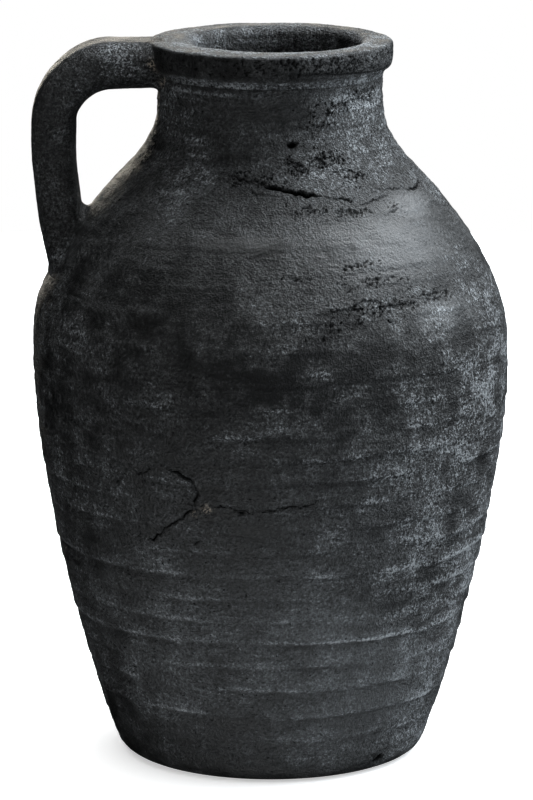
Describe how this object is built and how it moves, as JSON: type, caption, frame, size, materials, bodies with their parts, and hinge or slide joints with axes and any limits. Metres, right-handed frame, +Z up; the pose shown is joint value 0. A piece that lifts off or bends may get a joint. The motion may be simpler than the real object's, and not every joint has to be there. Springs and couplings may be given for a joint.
{
  "type": "one-handled jar",
  "caption": "Tall black clay jar with a full shoulder, short neck, rolled rim and a strap handle from rim to shoulder.",
  "frame": {"origin": "middle of the foot, on the surface that the jar stands on", "axes": "+Z up along the jar's axis to the mouth, -X towards the handle, +Y to the handle's right when it is seen from outside"},
  "size_m": [0.263, 0.263, 0.4],
  "materials": {
    "wall_clay": "smoke-black, brushed, half matte, with a soft sheen on the shoulder",
    "rim_clay": "smoke-black, worn a little paler on top",
    "handle_clay": "smoke-black, smoothed, matte",
    "luting_clay": "finger-smeared, matte"
  },
  "bodies": {
    "root": {"floor_disc": "wall_clay", "foot_band": "wall_clay", "lower_belly_band": "wall_clay", "upper_belly_band": "wall_clay", "shoulder_band": "wall_clay", "neck_collar": "wall_clay", "rim_coil": "rim_clay", "handle_strap": "handle_clay", "upper_handle_wad": "luting_clay", "lower_handle_wad": "luting_clay"}
  },
  "joints": []
}
